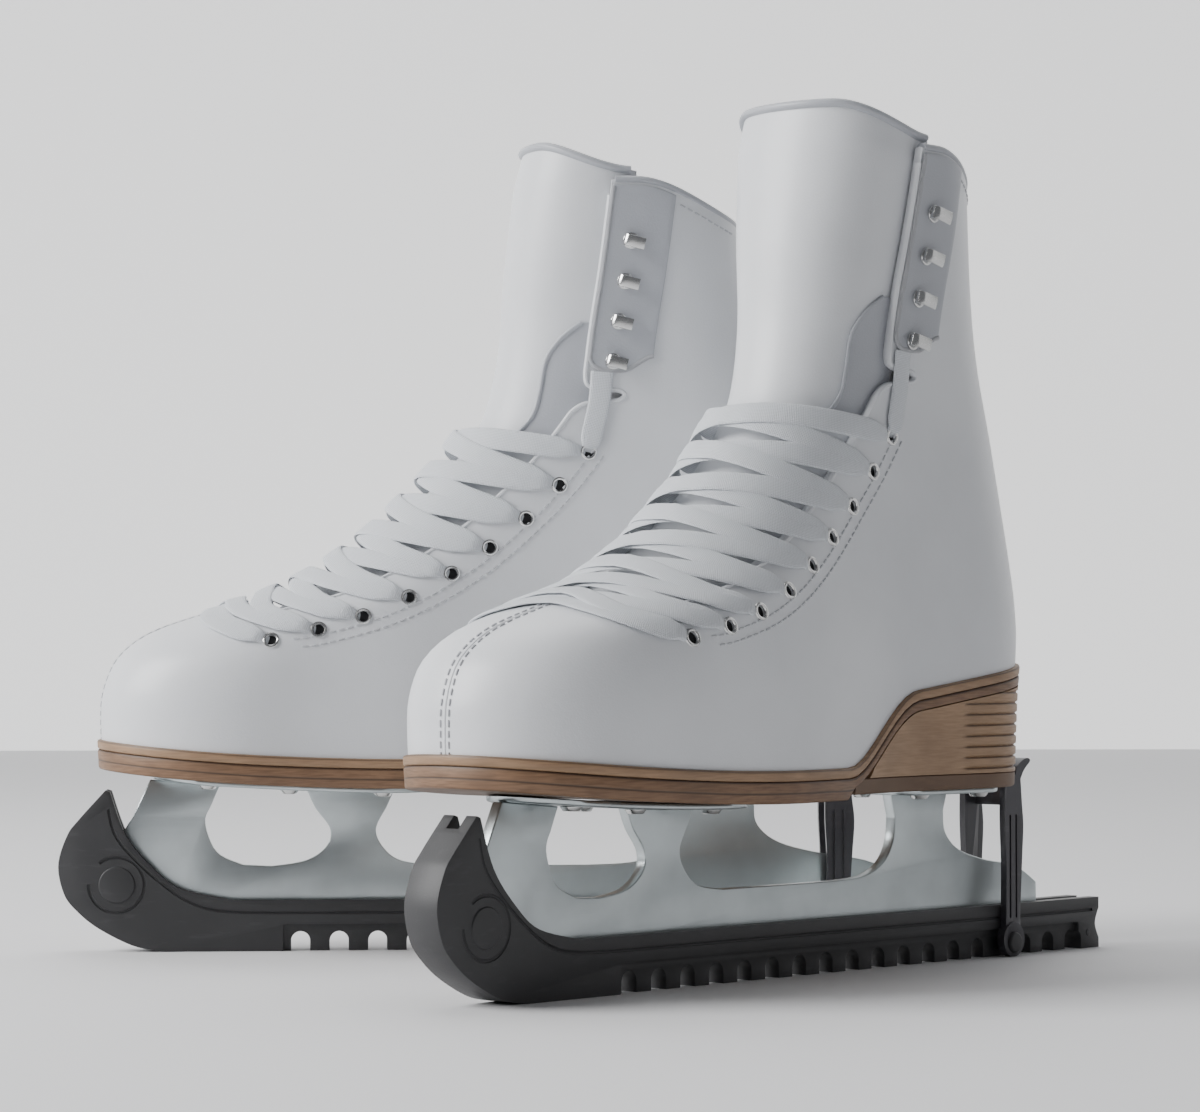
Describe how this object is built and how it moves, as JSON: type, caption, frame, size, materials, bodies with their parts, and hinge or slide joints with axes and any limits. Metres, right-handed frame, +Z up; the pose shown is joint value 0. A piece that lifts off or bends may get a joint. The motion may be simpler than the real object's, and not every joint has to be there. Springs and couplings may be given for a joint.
{
  "type": "pair of figure skates with blade guards",
  "caption": "Pair of white laced figure skates with brown stacked heels and steel blades, each standing in a toothed plastic blade guard held by a swinging strap.",
  "frame": {"origin": "on the floor, under the middle of the pair's overall box", "axes": "+Z up; toes point towards -Y, each skate turned out by 21 degrees; the left skate is at +X"},
  "size_m": [0.2826, 0.336, 0.2778],
  "materials": {
    "white_leather": "smooth, semi-gloss",
    "lining": "napped",
    "footbed": "felt",
    "tongue_leather": "smooth, padded",
    "lace": "flat woven",
    "grey_leather": "smooth",
    "welt": "waxed edge",
    "outsole": "waxed edge",
    "heel": "stacked, waxed edge",
    "heel_rubber": "matte",
    "blade_steel": "satin",
    "bright_metal": "polished",
    "guard_plastic": "fine matte",
    "strap_plastic": "semi-gloss, flexible"
  },
  "bodies": {
    "skates": {"left_boot_upper": "white_leather", "left_collar_lining": "lining", "left_footbed": "footbed", "left_tongue_base": "tongue_leather", "left_lace": "lace", "left_hook_strip_outer": "grey_leather", "left_hook_strip_inner": "grey_leather", "left_welt": "welt", "left_outsole": "outsole", "left_heel_stack": "heel", "left_heel_lift": "heel_rubber", "left_blade": "blade_steel", "left_front_plate": "bright_metal", "left_heel_plate": "bright_metal", "left_guard": "guard_plastic", "left_strap_pin": "strap_plastic", "left_hook_outer_1": "bright_metal", "left_hook_inner_1": "bright_metal", "left_hook_outer_2": "bright_metal", "left_hook_inner_2": "bright_metal", "left_hook_outer_3": "bright_metal", "left_hook_inner_3": "bright_metal", "left_hook_outer_4": "bright_metal", "left_hook_inner_4": "bright_metal", "left_front_screw_1": "bright_metal", "left_front_screw_2": "bright_metal", "left_heel_screw_1": "bright_metal", "left_heel_screw_2": "bright_metal", "right_boot_upper": "white_leather", "right_collar_lining": "lining", "right_footbed": "footbed", "right_tongue_base": "tongue_leather", "right_lace": "lace", "right_hook_strip_outer": "grey_leather", "right_hook_strip_inner": "grey_leather", "right_welt": "welt", "right_outsole": "outsole", "right_heel_stack": "heel", "right_heel_lift": "heel_rubber", "right_blade": "blade_steel", "right_front_plate": "bright_metal", "right_heel_plate": "bright_metal", "right_guard": "guard_plastic", "right_strap_pin": "strap_plastic", "right_hook_outer_1": "bright_metal", "right_hook_inner_1": "bright_metal", "right_hook_outer_2": "bright_metal", "right_hook_inner_2": "bright_metal", "right_hook_outer_3": "bright_metal", "right_hook_inner_3": "bright_metal", "right_hook_outer_4": "bright_metal", "right_hook_inner_4": "bright_metal", "right_front_screw_1": "bright_metal", "right_front_screw_2": "bright_metal", "right_heel_screw_1": "bright_metal", "right_heel_screw_2": "bright_metal"},
    "left_strap": {"left_strap": "strap_plastic"},
    "right_strap": {"right_strap": "strap_plastic"},
    "left_tongue": {"left_tongue_flap": "tongue_leather"},
    "right_tongue": {"right_tongue_flap": "tongue_leather"}
  },
  "joints": [
    {"name": "left_strap", "type": "hinge", "parent": "skates", "child": "left_strap", "pos_m": [0.0276, 0.11615, 0.0042], "axis": [-0.9323, -0.3616, 0], "range_deg": [0, 65]},
    {"name": "left_tongue", "type": "hinge", "parent": "skates", "child": "left_tongue", "pos_m": [0.07215, 0.00129, 0.1914], "axis": [0.9323, 0.3616, 0], "range_deg": [0, 30]},
    {"name": "right_strap", "type": "hinge", "parent": "skates", "child": "right_strap", "pos_m": [-0.0276, 0.08615, 0.0042], "axis": [-0.9323, 0.3616, 0], "range_deg": [0, 65]},
    {"name": "right_tongue", "type": "hinge", "parent": "skates", "child": "right_tongue", "pos_m": [-0.07215, -0.02871, 0.1914], "axis": [0.9323, -0.3616, 0], "range_deg": [0, 30]}
  ]
}
